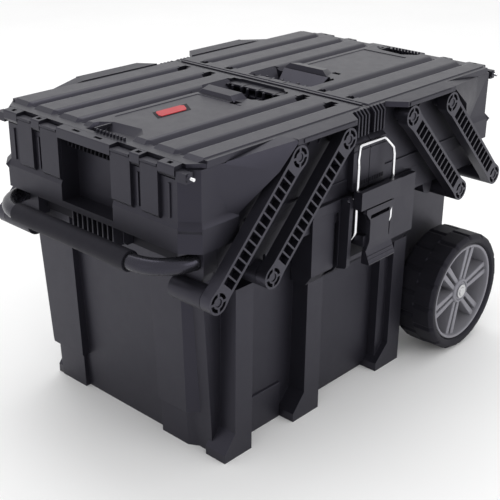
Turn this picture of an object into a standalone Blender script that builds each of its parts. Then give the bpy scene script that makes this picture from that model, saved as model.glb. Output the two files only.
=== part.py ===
"""Rolling tool box with two cantilever trays that swing out to the ends.

X runs along the length (-X is the pull handle end, +X the wheel end), -Y is
the front, +Z is up, and z = 0 is the floor.  All sizes are in metres.
The left front quarter is drawn once and mirrored wherever the object repeats.
"""
import math

import bmesh
import bpy
from mathutils import Vector

# ---------------------------------------------------------------- sizes
GAP = 0.0003                      # running gap between touching pieces
SPREAD = 0.0065
PADS = ((0.0415, 0.0737), (0.0903, 0.1182))        # tray columns at the hinge, |Y|
KNUCKLES = ((0.0741, 0.0899), (0.1186, 0.1450))    # lid knuckles between them
HALF = 0.0006                     # half of the seam between the two trays
RIM_TOP = 0.2995                  # top of the bin's rim
TRAY_Z0, TRAY_Z1 = 0.3005, 0.3955 # tray floor underside and tray rim
LID_Z0, LID_Z1 = 0.3963, 0.4055   # lid underside and lid top
TRAY_X, TRAY_Y = 0.3030, 0.1638   # tray end face and tray side face
HOOD_Y = 0.1890                   # outer face of the hoods and of the arms
ARM_IN = 0.1740                   # inner face of the arms
ROD_X, ROD_Z = 0.3024, 0.3900     # lid hinge rod
TOP_IN, TOP_OUT, TOP_Z = 0.0660, 0.1557, 0.3834   # arm pivots on the trays
LOW_IN, LOW_OUT, LOW_Z = 0.1974, 0.2871, 0.2491   # arm pivots on the bin
ARM_R, BEAM = 0.0145, 0.0125      # arm ring radius, half width of the beam
PIN_R, HOLE_R = 0.0047, 0.0050
TUBE_Y, TUBE_Z, TUBE_R = 0.1480, 0.2845, 0.0100   # pull handle tube
BEND, BAR_X = 0.050, -0.3315      # handle bend radius, handle crossbar
WHEEL_X, WHEEL_Z, WHEEL_R = 0.2130, 0.0889, 0.0889
WHEEL_Y0, WHEEL_Y1 = 0.1400, 0.2035
RIM_R = 0.0728
FOOT_Y = 0.1570                   # front face of the ribs on the bin


# ---------------------------------------------------------------- helpers
def tidy(me):
    bm = bmesh.new()
    bm.from_mesh(me)
    bmesh.ops.remove_doubles(bm, verts=bm.verts, dist=1e-6)
    bmesh.ops.dissolve_degenerate(bm, edges=bm.edges, dist=1e-6)
    bmesh.ops.recalc_face_normals(bm, faces=bm.faces)
    bm.to_mesh(me)
    bm.free()


def solid(name, verts, faces):
    me = bpy.data.meshes.new(name)
    me.from_pydata([tuple(v) for v in verts], [], faces)
    me.update()
    tidy(me)
    ob = bpy.data.objects.new(name, me)
    bpy.context.scene.collection.objects.link(ob)
    return ob


def place(axis, p, t):
    if axis == "x":
        return (t, p[0], p[1])
    if axis == "y":
        return (p[0], t, p[1])
    return (p[0], p[1], t)


def loft(axis, lo_pts, lo, hi_pts, hi, name="part"):
    """Closed solid between two outlines with the same number of corners."""
    n = len(lo_pts)
    verts = [place(axis, p, lo) for p in lo_pts]
    verts += [place(axis, p, hi) for p in hi_pts]
    faces = [tuple(range(n)), tuple(range(n, 2 * n))]
    faces += [(i, (i + 1) % n, n + (i + 1) % n, n + i) for i in range(n)]
    return solid(name, verts, faces)


def prism(axis, pts, lo, hi, name="part"):
    return loft(axis, pts, lo, pts, hi, name)


def box(x0, x1, y0, y1, z0, z1, name="part"):
    return prism("z", [(x0, y0), (x1, y0), (x1, y1), (x0, y1)], z0, z1, name)


def ring_pts(c, r, n, a0=0.0):
    return [(c[0] + r * math.cos(a0 + 2 * math.pi * i / n),
             c[1] + r * math.sin(a0 + 2 * math.pi * i / n)) for i in range(n)]


def cyl(axis, c, r, lo, hi, n=32, name="part"):
    return prism(axis, ring_pts(c, r, n), lo, hi, name)


def hull(pts, name="part"):
    bm = bmesh.new()
    for p in pts:
        bm.verts.new(p)
    bmesh.ops.convex_hull(bm, input=bm.verts)
    me = bpy.data.meshes.new(name)
    bm.to_mesh(me)
    bm.free()
    tidy(me)
    ob = bpy.data.objects.new(name, me)
    bpy.context.scene.collection.objects.link(ob)
    return ob


def combine(op, a, *others):
    for b in others:
        m = a.modifiers.new("b", "BOOLEAN")
        m.operation, m.solver, m.object = op, "EXACT", b
        bpy.context.view_layer.update()
        got = bpy.data.meshes.new_from_object(
            a.evaluated_get(bpy.context.evaluated_depsgraph_get()))
        a.modifiers.clear()
        a.data = got
        tidy(a.data)
        bpy.data.objects.remove(b)
    return a


def add(a, *others):
    return combine("UNION", a, *others)


def cut(a, *others):
    return combine("DIFFERENCE", a, *others)


def mirrored(ob, sx, sy, name=None):
    """Copy of a piece drawn for the left front (-X, -Y), flipped as asked."""
    me = ob.data.copy()
    for v in me.vertices:
        v.co.x *= sx
        v.co.y *= sy
    tidy(me)
    new = bpy.data.objects.new(name or ob.name + "_m", me)
    bpy.context.scene.collection.objects.link(new)
    return new


def named(ob, name):
    ob.name = name
    ob.data.name = name
    return ob


def sweep(path, r, n=16, name="part"):
    """Round bar along a path, with flat ends."""
    pts = [Vector(p) for p in path]
    verts, faces = [], []
    ref = None
    for i, p in enumerate(pts):
        t0 = (pts[i] - pts[i - 1]).normalized() if i else None
        t1 = (pts[i + 1] - pts[i]).normalized() if i < len(pts) - 1 else None
        t = ((t0 or t1) + (t1 or t0)).normalized()
        if ref is None:
            ref = t.orthogonal().normalized()
        ref = (ref - t * ref.dot(t)).normalized()
        side = t.cross(ref)
        stretch = 1.0
        if t0 and t1:
            stretch = 1.0 / max(0.6, t.dot(t0))
        bend = (t1 - t0) if (t0 and t1) else Vector((0, 0, 0))
        bend = bend.normalized() if bend.length > 1e-6 else bend
        for k in range(n):
            a = 2 * math.pi * k / n
            d = ref * math.cos(a) + side * math.sin(a)
            d = d + bend * (d.dot(bend) * (stretch - 1.0))
            verts.append(p + d * r)
    for i in range(len(pts) - 1):
        for k in range(n):
            k2 = (k + 1) % n
            faces.append((i * n + k, i * n + k2, (i + 1) * n + k2, (i + 1) * n + k))
    faces.append(tuple(range(n)))
    faces.append(tuple(range((len(pts) - 1) * n, len(pts) * n)))
    return solid(name, verts, faces)


def arc(c, r, a0, a1, n):
    return [(c[0] + r * math.cos(a0 + (a1 - a0) * i / n),
             c[1] + r * math.sin(a0 + (a1 - a0) * i / n)) for i in range(n + 1)]


# ---------------------------------------------------------------- the bin
def rib(x0, x1, foot, top, y=FOOT_Y):
    """A front rib with its low sloped foot on the handle side."""
    pts = [(foot, 0), (x1, 0), (x1, top), (x0, top), (x0, 0.036), (foot, 0.012)]
    return prism("y", pts, -y, -0.124)


def end_column(front):
    """Corner column at the handle end, stepped in near the floor."""
    if front:
        def plan(x, y0, y1):
            return [(x, y0), (x, y1), (-0.2238, -0.1319), (-0.2183, -0.1281), (-0.2183, y0)]
        low = loft("z", plan(-0.2455, -0.0470, -0.0930), 0.0,
                   plan(-0.2475, -0.0470, -0.0940), 0.055)
        up = loft("z", plan(-0.2543, -0.0500, -0.1003), 0.0545,
                  plan(-0.2670, -0.0530, -0.1060), 0.2655)
    else:
        def plan(x, y0, y1):
            return [(x, y0), (x, y1 - 0.0100), (x + 0.0060, y1), (-0.2147, y1), (-0.2147, y0)]
        low = loft("z", plan(-0.2455, 0.0960, 0.1560), 0.0,
                   plan(-0.2475, 0.0950, 0.1564), 0.055)
        up = loft("z", plan(-0.2543, 0.0880, 0.1600), 0.0545,
                  plan(-0.2670, 0.0820, 0.1620), 0.2655)
    return add(low, up)


def bin_shell():
    def plan(x0, x1, y):
        return [(x0, -y), (x1, -y), (x1, y), (x0, y)]
    b = loft("z", plan(-0.2380, 0.1300, 0.1300), 0.0,
             plan(-0.2590, 0.1300, 0.1335), 0.2655)
    b = add(b, box(0.1200, 0.2620, -0.1250, 0.1250, 0.0220, 0.2655))
    for sy in (1, -1):
        for piece in (rib(-0.2260, -0.1960, -0.2445, 0.2320),
                      rib(-0.0948, -0.0644, -0.1160, 0.1945),
                      rib(0.0904, 0.1187, 0.0645, 0.1945),
                      box(0.0720, 0.0910, -0.1480, -0.1240, 0.0, 0.1945)):
            if sy == -1:
                flipped = mirrored(piece, 1, -1)
                bpy.data.objects.remove(piece)
                piece = flipped
            b = add(b, piece)
        b = add(b, cyl("y", (WHEEL_X, WHEEL_Z), 0.0150,
                       *sorted((sy * 0.1200, sy * 0.1370)), 28))
    b = add(b, end_column(True), end_column(False))
    # the hollow, the raised floor over the axle and the axle channel
    b = cut(b, loft("z", plan(-0.2330, 0.1260, 0.1260), 0.0040,
                    plan(-0.2540, 0.1260, 0.1295), 0.30))
    b = cut(b, box(0.1200, 0.1560, -0.1210, 0.1210, 0.0260, 0.30))
    b = cut(b, box(0.1500, 0.2580, -0.1210, 0.1210, 0.1090, 0.30))
    b = cut(b, box(0.1600, 0.2900, -0.1185, 0.1185, 0.0, 0.1050))
    b = cut(b, cyl("y", (WHEEL_X, WHEEL_Z), 0.0062, -0.2, 0.2, 24))
    return named(b, "bin_shell")


def rail():
    """Front rail of the rim: guides the pull handle, carries the inner boss."""
    r = box(-0.2621, 0.2621, -0.1625, -0.1345, 0.2660, RIM_TOP)
    r = add(r, box(-0.2621, 0.2621, -0.1350, -0.1215, 0.2660, 0.2740))
    for sx in (-1, 1):
        x = sx * LOW_IN
        r = add(r, cyl("y", (x, LOW_Z), ARM_R, -ARM_IN + GAP * 2, -0.1362, 28))
        r = add(r, box(x - 0.0110, x + 0.0110, -0.1620, -0.1362, 0.2560, 0.2680))
        r = cut(r, cyl("y", (x, LOW_Z), HOLE_R, -0.19, -0.1480, 16))
    r = cut(r, cyl("x", (-TUBE_Y, TUBE_Z), TUBE_R + GAP, -0.3, 0.3, 28))
    return r


def corner_bracket():
    """Bracket under a tray corner with the boss of the outer arm."""
    y = TUBE_Y
    pts = [(-0.1625, 0.2720), (-0.1570, 0.2600), (-0.1215, 0.2600),
           (-0.1215, RIM_TOP), (-0.1625, RIM_TOP)]
    b = prism("x", pts, -0.2835, -0.2675)
    b = add(b, prism("x", [(-0.1625, 0.2700), (-0.1215, 0.2700),
                           (-0.1215, RIM_TOP), (-0.1625, RIM_TOP)], -0.2680, -0.2625))
    b = add(b, cyl("y", (-LOW_OUT, LOW_Z), ARM_R, -ARM_IN + GAP * 2, -0.1230, 28))
    b = add(b, box(-0.2835, -0.2770, -0.1560, -0.1230, 0.2520, 0.2680))
    b = cut(b, cyl("y", (-LOW_OUT, LOW_Z), HOLE_R, -0.19, -0.1480, 16))
    b = cut(b, cyl("x", (-y, TUBE_Z), TUBE_R + GAP, -0.31, -0.24, 28))
    return b


def end_beam():
    """Cross beam of the rim with a row of upright fins."""
    b = box(-0.2700, -0.2560, -0.1210, 0.1210, 0.2660, RIM_TOP)
    for i in range(9):
        y = -0.0336 + 0.0084 * i
        b = add(b, prism("y", [(-0.2860, 0.2730), (-0.2860, RIM_TOP), (-0.2690, RIM_TOP),
                               (-0.2690, 0.2680), (-0.2810, 0.2680)],
                         y - 0.0010, y + 0.0010))
    return b


def latch_base():
    """Block on the bin wall that carries the latch lever."""
    side = [(-0.1575, 0.1948), (-0.1338, 0.1948), (-0.1338, 0.2655), (-0.1632, 0.2655),
            (-0.1632, 0.2980), (-0.1665, 0.2980), (-0.1665, 0.2080)]
    b = prism("x", side, -0.1010, 0.1060)
    b = cut(b, prism("y", [(-0.0730, 0.1990), (-0.0490, 0.1990), (-0.0490, 0.2810),
                           (-0.0600, 0.2810), (-0.0600, 0.2060), (-0.0730, 0.2060)],
                     -0.18, -0.1500))
    b = cut(b, box(-0.0975, 0.1020, -0.1470, -0.1300, 0.1985, 0.2620))
    b = cut(b, box(-0.0240, 0.0240, -0.18, -0.1620, 0.1900, 0.2400))
    cheek = [(-0.1640, 0.2030), (-0.1780, 0.2060), (-0.1800, 0.2100), (-0.1815, 0.2960),
             (-0.1780, 0.3020), (-0.1740, 0.3020), (-0.1668, 0.2975), (-0.1640, 0.2975)]
    b = add(b, prism("x", cheek, -0.0480, -0.0412))
    b = add(b, prism("x", cheek, 0.0412, 0.0480))
    b = add(b, prism("x", [(-0.1640, 0.2120), (-0.1740, 0.2140), (-0.1750, 0.2160),
                           (-0.1750, 0.2975), (-0.1640, 0.2975)], 0.0470, 0.1020))
    return cut(b, cyl("x", (-0.1780, 0.2970), 0.0021, -0.06, 0.06, 16))


# ---------------------------------------------------------------- the arms
def arm(low, top):
    """Ladder arm between two pivots, drawn in place on the front left."""
    a, t = Vector((-low, LOW_Z)), Vector((-top, TOP_Z))
    d = (t - a).normalized()
    s = Vector((-d.y, d.x))
    length = (t - a).length

    def at(u, w):
        p = a + d * u + s * w
        return (p.x, p.y)
    ang = math.atan2(d.y, d.x)
    out = []
    for i in range(11):
        q = ang + math.pi / 2 + math.pi * i / 10
        out.append((a.x + ARM_R * math.cos(q), a.y + ARM_R * math.sin(q)))
    out += [at(0.0135, -BEAM), at(length - 0.0135, -BEAM)]
    for i in range(11):
        q = ang - math.pi / 2 + math.pi * i / 10
        out.append((t.x + ARM_R * math.cos(q), t.y + ARM_R * math.sin(q)))
    out += [at(length - 0.0135, BEAM), at(0.0135, BEAM)]
    b = prism("y", out, -HOOD_Y, -ARM_IN)
    cells, first, last = 13, 0.0192, length - 0.0192
    step = (last - first) / cells
    verts, faces = [], []
    for i in range(cells):
        u0, u1 = first + step * i + 0.0011, first + step * (i + 1) - 0.0011
        n = len(verts)
        for y in (-HOOD_Y - 0.002, -HOOD_Y + 0.0105):
            verts += [(p[0], y, p[1]) for p in
                      (at(u0, -0.0088), at(u1, -0.0088), at(u1, 0.0088), at(u0, 0.0088))]
        faces += [(n, n + 1, n + 2, n + 3), (n + 4, n + 5, n + 6, n + 7)]
        faces += [(n + k, n + (k + 1) % 4, n + 4 + (k + 1) % 4, n + 4 + k) for k in range(4)]
    b = cut(b, solid("cells", verts, faces))
    for c in (a, t):
        verts, faces = [], []
        for q in range(4):
            a0 = ang + math.pi / 4 + q * math.pi / 2
            outer = arc(c, 0.0118, a0 + 0.13, a0 + math.pi / 2 - 0.13, 3)
            inner = arc(c, 0.0076, a0 + math.pi / 2 - 0.20, a0 + 0.20, 2)
            pts = outer + inner
            n, m = len(verts), len(pts)
            verts += [(p[0], -HOOD_Y - 0.002, p[1]) for p in pts]
            verts += [(p[0], -HOOD_Y + 0.0060, p[1]) for p in pts]
            faces += [tuple(range(n, n + m)), tuple(range(n + m, n + 2 * m))]
            faces += [(n + k, n + (k + 1) % m, n + m + (k + 1) % m, n + m + k)
                      for k in range(m)]
        b = cut(b, solid("quadrants", verts, faces))
        b = cut(b, cyl("y", (c.x, c.y), HOLE_R, -0.2, -0.16, 16))
    return b


def low_pin(x):
    return cyl("y", (x, LOW_Z), PIN_R, -HOOD_Y + 0.0010, -0.1484, 16)


def top_pin(x):
    p = cyl("y", (x, TOP_Z), PIN_R, -HOOD_Y + 0.0010, -0.1592, 16)
    return add(p, cyl("y", (x, TOP_Z), 0.0085, -ARM_IN + GAP, -TRAY_Y - GAP, 16))


# ---------------------------------------------------------------- the trays
def tray_plan(x, y, cx=0.016, cy=0.020, inner=HALF):
    return [(-inner, -y), (-x + cx, -y), (-x, -y + cy), (-x, y - cy), (-x + cx, y),
            (-inner, y)]


def hood():
    """Roof over the arm tops, drawn for the front left."""
    flare = hull([(-0.155, -HOOD_Y, LID_Z1), (-0.191, -HOOD_Y, 0.3755),
                  (-0.155, -0.1630, LID_Z1), (-0.191, -0.1630, 0.3755),
                  (-0.214, -0.1630, 0.3555), (-0.240, -0.1630, 0.3250),
                  (-0.262, -0.1630, 0.3600), (-0.262, -0.1630, TRAY_Z1),
                  (-0.165, -0.1660, LID_Z1)])
    roof = prism("z", [(-0.160, -0.1630), (-0.160, -HOOD_Y), (-0.052, -HOOD_Y),
                       (-0.032, -0.1630)], 0.3985, LID_Z1)
    return add(flare, roof)


def tray():
    """Left tray: a shallow box, closed at the seam, with hoods front and back."""
    t = prism("z", tray_plan(TRAY_X, TRAY_Y), TRAY_Z0, TRAY_Z1)
    def ring(x, y, c):
        return [(-0.2320, -y), (-x + c, -y), (-x, -y + c + 0.004), (-x, y - c - 0.004),
                (-x + c, y), (-0.2320, y)]
    band = loft("z", ring(0.3064, 0.1672, 0.0170), TRAY_Z0, ring(0.3064, 0.1672, 0.0170), 0.3290)
    band = add(band, loft("z", ring(0.3064, 0.1672, 0.0170), 0.3289,
                          ring(0.3028, 0.1636, 0.0160), 0.3370))
    t = add(t, band)
    for sy in (1, -1):
        h = hood()
        c = box(-0.0330, -HALF, -0.1720, -0.1600, 0.3045, 0.3650)
        c = add(c, prism("x", [(-0.1720, 0.3640), (-0.1600, 0.3640), (-0.1600, 0.3700),
                               (-0.1650, 0.3700)], -0.0330, -HALF))
        if sy == -1:
            h2, c2 = mirrored(h, 1, -1), mirrored(c, 1, -1)
            bpy.data.objects.remove(h)
            bpy.data.objects.remove(c)
            h, c = h2, c2
        t = add(t, h, c)
    # inside, with a block left standing for the end recess
    inside = prism("z", tray_plan(0.2980, 0.1590, 0.016, 0.020, 0.0046), 0.3045, 0.41)
    inside = cut(inside, box(-0.31, -0.2760, -0.0455, 0.0455, 0.30, 0.3880))
    for sy in (1, -1):
        for x in (TOP_IN, TOP_OUT):
            y0, y1 = sorted((-sy * 0.1600, -sy * 0.1550))
            inside = cut(inside, box(-x - 0.009, -x + 0.009, y0, y1, 0.30, 0.3935))
    t = cut(t, inside)
    # the lid lies between the hoods, so their inner faces are trimmed to it
    t = cut(t, box(-0.31, 0.01, -0.1658, 0.1658, TRAY_Z1, 0.42))
    t = cut(t, box(-0.31, -0.2800, -0.0411, 0.0411, 0.3085, 0.3865))
    # columns of the end wall, which hold the hinge rod, and room for the lid's knuckles
    for y0, y1 in PADS:
        for sy in (1, -1):
            t = add(t, prism("y", [(-0.3000, 0.3340), (-0.3050, 0.3340), (-0.3076, 0.3375),
                                   (-0.3076, 0.3925), (-0.3058, 0.3952), (-0.2968, 0.3952),
                                   (-0.2968, 0.3600), (-0.3000, 0.3600)],
                             *sorted((sy * y0, sy * y1))))
    for sy in (1, -1):
        t = add(t, box(-0.3070, -0.2968, *sorted((sy * 0.1454, sy * 0.1610)), 0.3840, 0.3952))
        for y0, y1 in KNUCKLES:
            a, b = sorted((sy * (y0 - 0.0002), sy * (y1 + 0.0002)))
            t = cut(t, box(-0.3100, -0.2880, a, b, 0.3835, 0.42))
    t = cut(t, cyl("y", (-ROD_X, ROD_Z), 0.0024, -0.2, 0.2, 14))
    for sy in (1, -1):
        for x in (TOP_IN, TOP_OUT):
            y0, y1 = sorted((-sy * 0.2, -sy * 0.1588))
            t = cut(t, cyl("y", (-x, TOP_Z), HOLE_R, y0, y1, 16))
    return t


def lid():
    """Left lid, hinged at its outer end."""
    prof = [(-HALF, LID_Z0), (-HALF, LID_Z1), (-0.2690, LID_Z1), (-0.2955, 0.3990),
            (-0.2955, LID_Z0)]
    b = prism("y", prof, -0.1652, 0.1652)
    b = cut(b, prism("z", [(-0.0070, -0.1570), (-0.0070, 0.1570), (-0.2700, 0.1570),
                           (-0.2700, 0.0220), (-0.2440, 0.0220), (-0.2440, -0.0590),
                           (-0.2700, -0.0590), (-0.2700, -0.1570)], 0.39, 0.4015))
    # pocket for the carry grip near the seam, with its own floor
    b = add(b, box(-0.1080, -0.0060, -0.0560, 0.0400, 0.3860, 0.4030))
    b = cut(b, prism("z", [(-0.1045, -0.0400), (-0.0940, -0.0525), (-0.0220, -0.0525),
                           (-0.0100, -0.0400), (-0.0100, 0.0250), (-0.0220, 0.0363),
                           (-0.0940, 0.0363), (-0.1045, 0.0250)], 0.3890, 0.42))
    # finger recess at the outer end
    b = cut(b, prism("z", [(-0.31, 0.0115), (-0.2530, 0.0115), (-0.2500, -0.0340),
                           (-0.2620, -0.0500), (-0.31, -0.0500)], 0.3990, 0.42))
    # centre panel and long grooves with pointed outer ends
    b = cut(b, box(-0.2420, -0.1160, -0.0520, 0.0164, 0.4043, 0.42))
    for y, w in ((0.1236, 0.0055), (0.0990, 0.0030), (0.0750, 0.0055), (0.0510, 0.0030),
                 (-0.0787, 0.0055), (-0.1020, 0.0030), (-0.1246, 0.0055)):
        b = cut(b, prism("z", [(-0.0150, y - w), (-0.0150, y + w), (-0.2560, y + w),
                               (-0.2640, y), (-0.2560, y - w)], 0.4035, 0.42))
    for y0, y1 in [(-b1, -a1) for a1, b1 in KNUCKLES] + list(KNUCKLES):
        b = add(b, cyl("y", (-ROD_X, ROD_Z), 0.0052, y0, y1, 20))
        b = add(b, prism("y", [(-ROD_X, 0.3852), (-0.2965, 0.3890), (-0.2900, LID_Z0),
                               (-0.2900, 0.3985), (-0.2965, 0.3985), (-ROD_X - 0.002, 0.3946)],
                         y0, y1))
        b = cut(b, cyl("y", (-ROD_X, ROD_Z), 0.0024, y0 - 0.01, y1 + 0.01, 14))
    return b


# ---------------------------------------------------------------- the latch
LEVER_Y, LEVER_Z = -0.1780, 0.2970     # lever pivot
WIRE_Y, WIRE_Z = -0.1730, 0.2400       # bail pivot, low on the lever


def lever():
    face = [(-0.0330, 0.2842), (0.0330, 0.2842), (0.0330, 0.2760), (0.0240, 0.2620),
            (0.0240, 0.2400), (0.0310, 0.2270), (0.0310, 0.2106), (-0.0310, 0.2106),
            (-0.0310, 0.2270), (-0.0240, 0.2400), (-0.0240, 0.2620), (-0.0330, 0.2760)]
    b = prism("y", face, -0.1935, -0.1870)
    b = add(b, hull([(sx * 0.0310, y, z) for sx in (-1, 1) for y, z in
                     ((-0.1935, 0.2300), (-0.2005, 0.2106), (-0.1930, 0.2106),
                      (-0.1880, 0.2290))]))
    b = cut(b, box(-0.0220, 0.0220, -0.2, -0.18, 0.2700, 0.2790))
    cheek = [(-0.1855, 0.3030), (-0.1735, 0.3030), (-0.1735, 0.2860), (-0.1685, 0.2450),
             (-0.1685, 0.2355), (-0.1770, 0.2340), (-0.1890, 0.2450), (-0.1890, 0.2835),
             (-0.1855, 0.2835)]
    for sx in (-1, 1):
        x0, x1 = sorted((sx * 0.0230, sx * 0.0330))
        low = prism("x", [(-0.1890, 0.2450), (-0.1890, 0.2330), (-0.1685, 0.2330),
                          (-0.1685, 0.2450)], x0, x1)
        b = add(b, low)
        b = add(b, prism("x", cheek, *sorted((sx * 0.0290, sx * 0.0330))))
    b = cut(b, cyl("x", (LEVER_Y, LEVER_Z), 0.0022, -0.06, 0.06, 16))
    b = cut(b, cyl("x", (WIRE_Y, WIRE_Z), 0.0022, -0.06, 0.06, 16))
    return b


def bail():
    path = [(-0.0265, WIRE_Y, WIRE_Z), (-0.0352, WIRE_Y, WIRE_Z),
            (-0.0368, WIRE_Y - 0.0018, WIRE_Z + 0.0016),
            (-0.0370, -0.1815, 0.2505), (-0.0370, -0.1830, 0.2550),
            (-0.0370, -0.1830, 0.3400), (-0.0362, -0.1815, 0.3490),
            (-0.0270, -0.1762, 0.3610), (-0.0235, -0.1755, 0.3630)]
    other = [(-x, y, z) for x, y, z in reversed(path)]
    return sweep(path + other, 0.0020, 12)


def bail_bridge():
    """Moulded cross piece that ties the two wires of the bail together."""
    b = box(-0.0405, 0.0405, -0.1935, -0.1868, 0.2862, 0.3100)
    for sx in (-1, 1):
        x0, x1 = sorted((sx * 0.0336, sx * 0.0405))
        b = add(b, box(x0, x1, -0.1935, -0.1806, 0.2862, 0.3100))
        b = cut(b, cyl("z", (sx * 0.0370, -0.1830), 0.0023, 0.27, 0.33, 16))
    return b


# ---------------------------------------------------------------- the handle
def handle_tube():
    x_end = 0.2200
    front = [(x_end, -TUBE_Y), (-0.10, -TUBE_Y)]
    front += arc((BAR_X + BEND, -TUBE_Y + BEND), BEND, -math.pi / 2, -math.pi, 8)
    back = [(x, -y) for x, y in reversed(front)]
    outer = sweep([(x, y, TUBE_Z) for x, y in front + back], TUBE_R, 20)
    for sy in (-1, 1):
        outer = cut(outer, cyl("x", (sy * TUBE_Y, TUBE_Z), TUBE_R - 0.0018, -0.20, 0.3, 16))
    return named(outer, "handle_tube")


def handle_grip():
    g = cyl("y", (BAR_X, TUBE_Z), 0.0125, -0.0960, 0.0960, 28)
    return named(cut(g, cyl("y", (BAR_X, TUBE_Z), TUBE_R + GAP, -0.2, 0.2, 24)),
                 "handle_grip")


def tube_plug():
    p = cyl("x", (-TUBE_Y, TUBE_Z), TUBE_R, 0.2203, 0.2230, 24)
    return add(p, cyl("x", (-TUBE_Y, TUBE_Z), TUBE_R - 0.0022, 0.2050, 0.2210, 20))


# ---------------------------------------------------------------- the wheels
def lathe(profile, n, bump=None):
    """Closed ring about the wheel axis; profile is (radius, y) around the section."""
    verts, faces = [], []
    m = len(profile)
    for i in range(n):
        a = 2 * math.pi * i / n
        for k, (r, y) in enumerate(profile):
            if bump:
                r = bump(i, k, r)
            verts.append((WHEEL_X + r * math.cos(a), y, WHEEL_Z + r * math.sin(a)))
    for i in range(n):
        j = (i + 1) % n
        for k in range(m):
            q = (k + 1) % m
            faces.append((i * m + k, i * m + q, j * m + q, j * m + k))
    return solid("ring", verts, faces)


def tyre():
    y0, y1 = -WHEEL_Y1, -WHEEL_Y0
    mid = (y0 + y1) / 2
    prof = [(RIM_R + 0.0004, y0 + 0.004), (RIM_R + 0.0040, y0), (WHEEL_R - 0.0050, y0),
            (WHEEL_R, y0 + 0.0050), (WHEEL_R, mid), (WHEEL_R, y1 - 0.0050),
            (WHEEL_R - 0.0050, y1), (RIM_R + 0.0040, y1), (RIM_R + 0.0004, y1 - 0.004)]

    def bump(i, k, r):
        return r - 0.0022 if (k in (3, 4, 5) and i % 3 == 1) else r
    return lathe(prof, 60, bump)


def wheel_rim():
    y0, y1 = -WHEEL_Y1 + 0.0035, -WHEEL_Y0 - 0.0035
    c = (WHEEL_X, WHEEL_Z)
    w = cyl("y", c, RIM_R, y0, y1, 40)
    w = cut(w, cyl("y", c, RIM_R - 0.0065, -0.25, y0 + 0.0050, 40))
    w = cut(w, cyl("y", c, RIM_R - 0.0045, y0 + 0.0200, -0.10, 40))
    w = add(w, cyl("y", c, 0.0170, y0 + 0.0045, y1 + 0.0010, 32))
    verts, faces = [], []
    for i in range(12):
        a0 = math.radians(60 * (i // 2) + (0 if i % 2 == 0 else 37) + 5)
        span = math.radians(27 if i % 2 == 0 else 13)
        pts = arc(c, 0.0610, a0, a0 + span, 5)
        pts += arc(c, 0.0250 if i % 2 == 0 else 0.0310, a0 + span, a0, 3)
        n, m = len(verts), len(pts)
        verts += [(p[0], -0.25, p[1]) for p in pts] + [(p[0], -0.10, p[1]) for p in pts]
        faces += [tuple(range(n, n + m)), tuple(range(n + m, n + 2 * m))]
        faces += [(n + k, n + (k + 1) % m, n + m + (k + 1) % m, n + m + k)
                  for k in range(m)]
    w = cut(w, solid("windows", verts, faces))
    w = cut(w, cyl("y", c, 0.0062, -0.3, 0.0, 24))
    return w


def hub_cap():
    y = -WHEEL_Y1 + 0.0035
    cap = prism("y", ring_pts((WHEEL_X, WHEEL_Z), 0.0105, 24), y + 0.0015, y + 0.0042)
    return add(cap, cyl("y", (WHEEL_X, WHEEL_Z), 0.0066, y, y + 0.0020, 24))


def widen(y):
    """The box is drawn narrow; everything outside the middle moves out by SPREAD."""
    if abs(y) < 0.05:
        return y * (1 + SPREAD / 0.05)
    return y + math.copysign(SPREAD, y)


# ---------------------------------------------------------------- assembly
def main():
    for ob in list(bpy.data.objects):
        bpy.data.objects.remove(ob)

    def spread(ob, names):
        """names: {(sx, sy): node name}; the drawn piece is the (1, 1) one."""
        for (sx, sy), n in names.items():
            if (sx, sy) != (1, 1):
                mirrored(ob, sx, sy, n)
        if (1, 1) in names:
            named(ob, names[(1, 1)])
        else:
            bpy.data.objects.remove(ob)

    corners = {(1, 1): "left_front", (1, -1): "left_back",
               (-1, 1): "right_front", (-1, -1): "right_back"}
    ends = {(1, 1): "left", (-1, 1): "right"}
    sides = {(1, 1): "front", (1, -1): "back"}

    def quad(suffix):
        return {k: v + suffix for k, v in corners.items()}

    bin_shell()
    spread(rail(), {k: v + "_rail" for k, v in sides.items()})
    spread(corner_bracket(), quad("_corner_bracket"))
    spread(end_beam(), {k: v + "_end_beam" for k, v in ends.items()})
    spread(latch_base(), {k: v + "_latch_base" for k, v in sides.items()})
    spread(arm(LOW_OUT, TOP_OUT), quad("_outer_arm"))
    spread(arm(LOW_IN, TOP_IN), quad("_inner_arm"))
    spread(low_pin(-LOW_OUT), quad("_outer_low_pin"))
    spread(low_pin(-LOW_IN), quad("_inner_low_pin"))
    spread(top_pin(-TOP_OUT), quad("_outer_top_pin"))
    spread(top_pin(-TOP_IN), quad("_inner_top_pin"))
    spread(tray(), {k: v + "_tray" for k, v in ends.items()})
    spread(lid(), {k: v + "_lid" for k, v in ends.items()})
    spread(cyl("y", (-ROD_X, ROD_Z), 0.0021, -0.1690, 0.1690, 14),
           {k: v + "_hinge_rod" for k, v in ends.items()})
    spread(lever(), {k: v + "_latch_lever" for k, v in sides.items()})
    spread(cyl("x", (LEVER_Y, LEVER_Z), 0.0018, -0.0470, 0.0470, 16),
           {k: v + "_lever_pin" for k, v in sides.items()})
    spread(bail(), {k: v + "_latch_bail" for k, v in sides.items()})
    spread(bail_bridge(), {k: v + "_bail_bridge" for k, v in sides.items()})
    named(cyl("y", (WHEEL_X, WHEEL_Z), 0.0060, -0.1950, 0.1950, 24), "axle")
    spread(tyre(), {k: v + "_tyre" for k, v in sides.items()})
    spread(wheel_rim(), {k: v + "_wheel_rim" for k, v in sides.items()})
    spread(hub_cap(), {k: v + "_hub_cap" for k, v in sides.items()})
    handle_tube()
    handle_grip()
    spread(tube_plug(), {k: v + "_tube_plug" for k, v in sides.items()})
    for ob in bpy.data.objects:
        for v in ob.data.vertices:
            v.co.y = widen(v.co.y)


main()
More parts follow.
